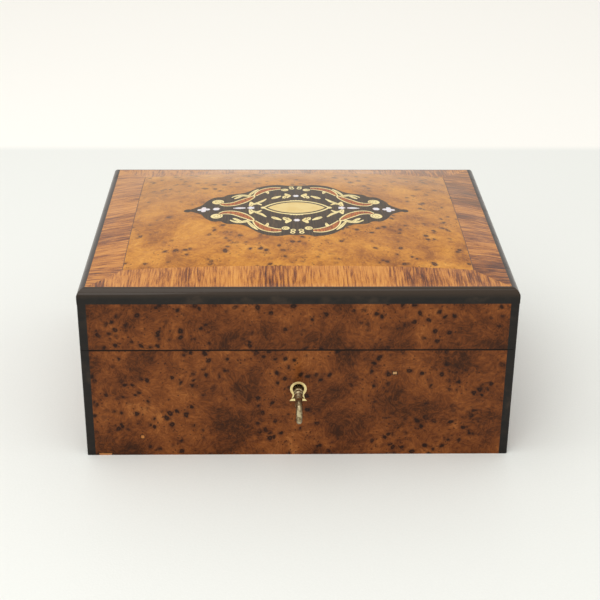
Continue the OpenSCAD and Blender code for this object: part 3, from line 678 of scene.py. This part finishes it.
ground_tones = [(0.3, (0.022, 0.012, 0.006)), (0.5, (0.055, 0.034, 0.017)), (0.7, (0.11, 0.072, 0.038))]
ground = Look("cartouche_dark", Coat_Weight=0.12, Coat_Roughness=0.1, Specular_IOR_Level=0.15)
ground_grain = ground.stretch(ground.warp(ground.mm, reach=0.8, size=14.0), (1.0, 0.06, 0.06))
threads = ground.noise(ground_grain, size=0.9, detail=3.0, rough=0.6)
ground_look = ground.finish(ground.tones(threads, ground_tones),
                            rough=threads.ramp(0.3, 0.7, start=0.3, end=0.45), height=threads, depth=0.02)
sheet_piece("cartouche_ground_sheet", "ground", ground_look, ["cartouche_ground"])

redwood_tones = [(0.32, (0.13, 0.028, 0.010)), (0.5, (0.36, 0.105, 0.026)), (0.72, (0.55, 0.20, 0.05))]
redwood = Look("cartouche_red_wood", Coat_Weight=0.12, Coat_Roughness=0.1, Specular_IOR_Level=0.15)
redwood_grain = redwood.stretch(redwood.warp(redwood.mm, reach=1.0, size=9.0), (1.0, 0.14, 0.14))
rays = redwood.noise(redwood_grain, size=0.9, detail=3.0, rough=0.6)
redwood_look = redwood.finish(redwood.tones(rays, redwood_tones),
                              rough=rays.ramp(0.3, 0.7, start=0.3, end=0.42), height=rays, depth=0.02)
sheet_piece("cartouche_redwood_sheet", "redwood", redwood_look, ["cartouche_redwood"])


def brass_look(name, bright, dull, patch_size, metal):
    look = Look(name, Metallic=metal, Specular_IOR_Level=0.5)
    patches = look.noise(look.mm, size=patch_size, detail=4.0, rough=0.6)
    specks = look.noise(look.mm, size=0.6, detail=2.0)
    tarnish = (patches.ramp(0.35, 0.75) * 0.7 + specks.ramp(0.55, 0.8) * 0.3).at_most(1.0)
    brushed = look.noise(look.stretch(look.mm, (0.12, 1.0, 1.0)), size=0.35, detail=2.0)
    return look.finish(look.blend(tarnish, bright, dull), rough=tarnish.ramp(0.0, 1.0, start=0.34, end=0.52),
                       height=brushed * 0.6 + specks * 0.4, depth=0.012)


inlay_brass = brass_look("inlay_brass", (0.95, 0.79, 0.38), (0.74, 0.54, 0.22), patch_size=6.0, metal=0.6)
sheet_piece("cartouche_brass_sheet", "brass", inlay_brass, ["cartouche_brass"])
plaque_brass = brass_look("plaque_brass", (0.82, 0.62, 0.25), (0.74, 0.53, 0.20), patch_size=9.0, metal=0.6)
sheet_piece("cartouche_plaque_sheet", "plaque", plaque_brass, ["cartouche_plaque"])

pearl_tones = [(0.30, (0.42, 0.64, 0.66)), (0.45, (0.74, 0.72, 0.78)), (0.58, (0.70, 0.50, 0.50)),
               (0.75, (0.56, 0.72, 0.58))]
pearl_white = (0.80, 0.76, 0.74)
pearl = Look("mother_of_pearl", Coat_Weight=0.8, Coat_Roughness=0.06, Roughness=0.3)
sheen = pearl.noise(pearl.mm, size=3.4, detail=2.0, rough=0.6, twist=1.2)
bands = pearl.noise(pearl.stretch(pearl.mm, (0.5, 1.6, 1.0)), size=0.8, detail=2.0, rough=0.5, twist=1.0)
pearl_look = pearl.finish(pearl.blend(bands * 0.4, pearl.tones(sheen, pearl_tones), pearl_white),
                          rough=bands.ramp(0.3, 0.7, start=0.18, end=0.36), height=bands, depth=0.02)
sheet_piece("cartouche_pearl_sheet", "pearl", pearl_look, ["cartouche_pearl"])


# Ebonised trim: black-stained pear wood, quarter-round along the lid's edge and square at the corners.
# Handling has worn its polish and let the wood's brown show along the arrises. Towards the top of the
# moulding the same brown is also painted on as a painted reflection, where the top faces the light.

ebony_tones = [(0.3, (0.003, 0.002, 0.001)), (0.6, (0.008, 0.005, 0.003)), (0.8, (0.018, 0.011, 0.006))]
worn_brown_and_sheen_tone = (0.046, 0.029, 0.017)
sheen_from_z = 122.5
sheen_full_z = 128.0
fillet_ease = 0.35
ebony = Look("ebonised_wood", Coat_Weight=0.36, Coat_Roughness=0.08, Specular_IOR_Level=0.1)
figure = ebony.noise(ebony.stretch(ebony.mm, (0.5, 0.5, 1.0)), size=5.0, detail=5.0, rough=0.6)
rubbed = ebony.noise(ebony.mm, size=19.0, detail=4.0, rough=0.6).ramp(0.5, 0.75)
_, _, ebony_z = ebony.parts()
# Wear in random patches, and a painted reflection: lighter brown painted onto the moulding's top by height
wear_and_sheen = (rubbed * 0.6).or_larger(ebony_z.ramp(sheen_from_z, sheen_full_z) * 0.75)
ebony_look = ebony.finish(ebony.blend(wear_and_sheen, ebony.tones(figure, ebony_tones), worn_brown_and_sheen_tone),
                          rough=rubbed.ramp(0.0, 1.0, start=0.30, end=0.46), height=figure)
for node in ("case_corner_fillets", "lid_corner_fillets", "lid_moulding_front", "lid_moulding_back",
             "lid_moulding_left", "lid_moulding_right"):
    dress(node, ebony_look)
ease_edges("case_corner_fillets", fillet_ease)
ease_edges("lid_corner_fillets", fillet_ease)


# Inside: sawn carcase boards, polished rim lipping, and lining paper on thin board.
# These show when the lid is open.

carcase_tones = [(0.25, (0.22, 0.11, 0.05)), (0.5, (0.36, 0.21, 0.10)), (0.75, (0.46, 0.29, 0.15))]
carcase = Look("sawn_wood", Roughness=0.6)
carcase_grain = carcase.stretch(carcase.warp(carcase.mm, reach=5.0, size=60.0), (0.05, 1.0, 1.0))
rings = carcase.noise(carcase_grain, size=3.2, detail=5.0, rough=0.6)
carcase_look = carcase.finish(carcase.tones(rings, carcase_tones),
                              rough=rings.ramp(0.3, 0.7, start=0.55, end=0.7), height=rings, depth=0.08)

lipping_tones = [(0.25, (0.05, 0.016, 0.008)), (0.5, (0.16, 0.055, 0.020)), (0.75, (0.27, 0.11, 0.04))]
lipping = Look("rim_lipping", Coat_Weight=0.4, Coat_Roughness=0.15)
strokes = lipping.noise(lipping.stretch(lipping.mm, (0.25, 0.25, 1.0)), size=1.6, detail=4.0, rough=0.6)
lipping_look = lipping.finish(lipping.tones(strokes, lipping_tones),
                              rough=strokes.ramp(0.3, 0.7, start=0.3, end=0.45), height=strokes, depth=0.04)

paper_red = (0.20, 0.028, 0.030)
paper_faded = (0.30, 0.065, 0.050)
paper = Look("lining_paper")
pulp = paper.noise(paper.mm, size=0.9, detail=3.0, rough=0.6)
faded = paper.noise(paper.mm, size=55.0, detail=4.0, rough=0.55).ramp(0.35, 0.7)
paper_look = paper.finish(paper.blend(faded, paper_red, paper_faded),
                          rough=pulp.ramp(0.2, 0.8, start=0.75, end=0.9), height=pulp, depth=0.12)

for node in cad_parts:
    if node.endswith("_board") or node.endswith("_rail"):
        dress(node, carcase_look)
    elif node.endswith("_lipping"):
        dress(node, lipping_look)
    elif node.endswith("_lining") or node in ("case_floor_panel", "lid_inner_panel"):
        dress(node, paper_look)


# Lock and hinges: cast and rolled brass with steel studs and spring, screwed into the wood.
# The escutcheon is a line of brass let in round the keyhole.

fitting_brass = brass_look("fitting_brass", (0.80, 0.60, 0.26), (0.48, 0.32, 0.12), patch_size=8.0,
                           metal=1.0)
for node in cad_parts:
    if node.startswith("hinge_") or node.startswith("link_") or node in (
            "lock_plate", "lock_cap", "lock_bolt", "lock_screws"):
        dress(node, fitting_brass)
dress("keyhole_escutcheon", inlay_brass)
ease_edges("lock_plate", 0.2)

steel_bright = (0.42, 0.42, 0.44)
steel_brown = (0.20, 0.17, 0.15)
steel = Look("oiled_steel", Metallic=1.0)
oxide = steel.noise(steel.mm, size=2.5, detail=4.0, rough=0.6)
steel_look = steel.finish(steel.blend(oxide.ramp(0.4, 0.7), steel_bright, steel_brown),
                          rough=oxide.ramp(0.3, 0.7, start=0.3, end=0.5), height=oxide, depth=0.02)
for node in ("lock_key_post", "lock_guide_studs", "lock_spring"):
    dress(node, steel_look)


# Key: a turned hollow shank with two collars, a filed bit, and a bow bent from round wire.
# It stands in the lock with its bow upright, so the front view sees the bow edge on.

shank_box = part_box("key_shank")
bow_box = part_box("key_bow")
key_z = (bow_box[0][2] + bow_box[1][2]) / 2 / MM
shank_start = shank_box[0][1] / MM
shank_end = shank_box[1][1] / MM
shank_r = 2.6
bore_r = 1.3
bore_depth = 7.0
bow_r = (bow_box[1][2] - bow_box[0][2]) / 2 / MM
bow_y = bow_box[0][1] / MM + bow_r
wire_r = (bow_box[1][0] - bow_box[0][0]) / 2 / MM
bow_collar_y = front_y - 8.4
lock_collar_y = front_y - 4.7
end_round = 0.3
bit_w = 2.0
bit_ease = 0.2
bit_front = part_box("lock_cap")[1][1] / MM + 0.4
bit_low = shank_box[0][2] / MM
bit_high = key_z - 1.4

key_bright = (0.56, 0.47, 0.28)
key_brown = (0.17, 0.115, 0.06)
key_metal = Look("key_metal", Metallic=1.0)
rust = key_metal.noise(key_metal.mm, size=3.0, detail=5.0, rough=0.65)
filed = key_metal.noise(key_metal.stretch(key_metal.mm, (1.0, 0.3, 1.0)), size=0.4, detail=2.0)
key_look = key_metal.finish(key_metal.blend(rust.ramp(0.40, 0.62), key_bright, key_brown),
                            rough=rust.ramp(0.3, 0.7, start=0.24, end=0.48), height=filed * 0.5 + rust)


def turned(profile):
    """Turns (place along Y, radius) pairs about the key's axis."""
    segments = 40
    verts, facets = [], []
    for y, r in profile:
        for k in range(segments):
            angle = math.tau * k / segments
            verts.append((r * math.cos(angle), y, key_z + r * math.sin(angle)))
    for i in range(len(profile) - 1):
        for k in range(segments):
            a, b = i * segments + k, i * segments + (k + 1) % segments
            facets.append((a, a + segments, b + segments, b))
    return verts, facets


def collar(y, width, r):
    """A ring about the shank, with small coves beside it and a rounded face."""
    half_w, cove, roundness = width / 2, 0.25, 0.35
    face = [(y + half_w * math.sin(math.radians(a)), r - roundness * (1 - math.cos(math.radians(a))))
            for a in range(-75, 76, 25)]
    return [(y - half_w - cove, shank_r)] + face + [(y + half_w + cove, shank_r)]


profile = [(shank_start, 0.4), (shank_start, shank_r * 0.8), (shank_start + 0.6, shank_r * 0.96)]
profile += collar(bow_collar_y, width=1.2, r=shank_r + 0.5)
profile += collar(lock_collar_y, width=1.6, r=shank_r + 0.7)
profile += [(shank_end - end_round, shank_r), (shank_end, shank_r - end_round), (shank_end, bore_r),
            (shank_end - bore_depth, bore_r), (shank_end - bore_depth, 0.05)]
verts, facets = turned(profile)
new_object("key_shank_turned", verts, facets, key_look, "key", ["key_shank"])

bit_middle = Matrix.Translation((0, (bit_front + shank_end) / 2, (bit_low + bit_high) / 2))
bit = bmesh.new()
bmesh.ops.create_cube(bit, size=1.0, matrix=bit_middle @ Matrix.Diagonal(
    (bit_w, shank_end - bit_front, bit_high - bit_low, 1)))
bmesh.ops.bevel(bit, geom=bit.edges[:], offset=bit_ease, segments=2, affect="EDGES")
bit.verts.index_update()
facets = [[v.index for v in face.verts] for face in bit.faces]
new_object("key_bit", [v.co for v in bit.verts], facets, key_look, "key", smooth=False)

around_count, wire_count = 56, 20
verts, facets = [], []
for i in range(around_count):
    turn_angle = math.tau * i / around_count
    for j in range(wire_count):
        wire_angle = math.tau * j / wire_count
        reach = bow_r - wire_r + wire_r * math.cos(wire_angle)
        verts.append((wire_r * math.sin(wire_angle), bow_y + reach * math.cos(turn_angle),
                      key_z + reach * math.sin(turn_angle)))
        next_i, next_j = (i + 1) % around_count, (j + 1) % wire_count
        facets.append((i * wire_count + j, i * wire_count + next_j, next_i * wire_count + next_j,
                       next_i * wire_count + j))
new_object("key_bow_loop", verts, facets, key_look, "key", ["key_bow"])
